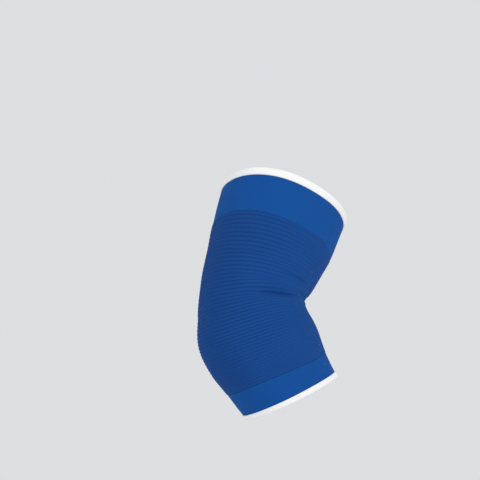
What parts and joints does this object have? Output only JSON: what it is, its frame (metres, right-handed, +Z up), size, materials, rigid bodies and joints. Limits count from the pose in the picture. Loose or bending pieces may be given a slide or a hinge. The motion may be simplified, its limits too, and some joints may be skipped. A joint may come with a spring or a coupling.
{
  "type": "elbow support sleeve",
  "caption": "Knitted elastic elbow sleeve in its worn, bent form, with a ribbed middle, smooth plain-knit cuffs and white sewn hems.",
  "frame": {"origin": "middle of the elbow inside the sleeve, where the middle line of the bent arm is furthest back", "axes": "+Z up along the sleeve, upper arm above and forearm below, +X towards the crook of the elbow, Y across the arm"},
  "size_m": [0.1465, 0.1026, 0.2214],
  "materials": {
    "blue_ribbed_knit": "ribbed elastic knit, matte, royal blue",
    "blue_plain_knit": "smooth plain knit, matte, royal blue",
    "white_hem": "white overlocked yarn, matte"
  },
  "bodies": {
    "root": {"upper_hem": "white_hem", "upper_cuff": "blue_plain_knit", "ribbed_body": "blue_ribbed_knit", "lower_cuff": "blue_plain_knit", "lower_hem": "white_hem"}
  },
  "joints": []
}
